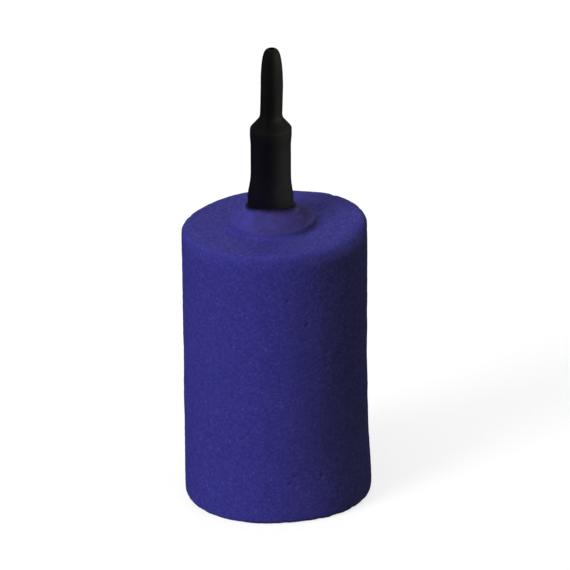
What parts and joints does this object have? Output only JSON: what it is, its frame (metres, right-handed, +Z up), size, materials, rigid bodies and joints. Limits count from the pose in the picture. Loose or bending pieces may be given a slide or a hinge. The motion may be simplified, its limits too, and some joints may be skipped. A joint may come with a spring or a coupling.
{
  "type": "air diffuser stone",
  "caption": "Cylindrical porous stone that breaks air into fine bubbles, fed through a stepped nozzle that takes two sizes of hose.",
  "frame": {"origin": "centre of the stone's flat base", "axes": "+Z runs up the stone's axis to the nozzle's tip; X and Y are interchangeable"},
  "size_m": [0.038, 0.038, 0.0976],
  "materials": {
    "blue_stone": "matte, finely granular",
    "black_plastic": "satin as moulded",
    "clear_adhesive": "cured resin",
    "tinted_adhesive": "cured resin dusted with stone grains"
  },
  "bodies": {
    "root": {"porous_body": "blue_stone", "air_nozzle": "black_plastic", "shank_adhesive": "clear_adhesive", "seal_bead": "tinted_adhesive"}
  },
  "joints": []
}
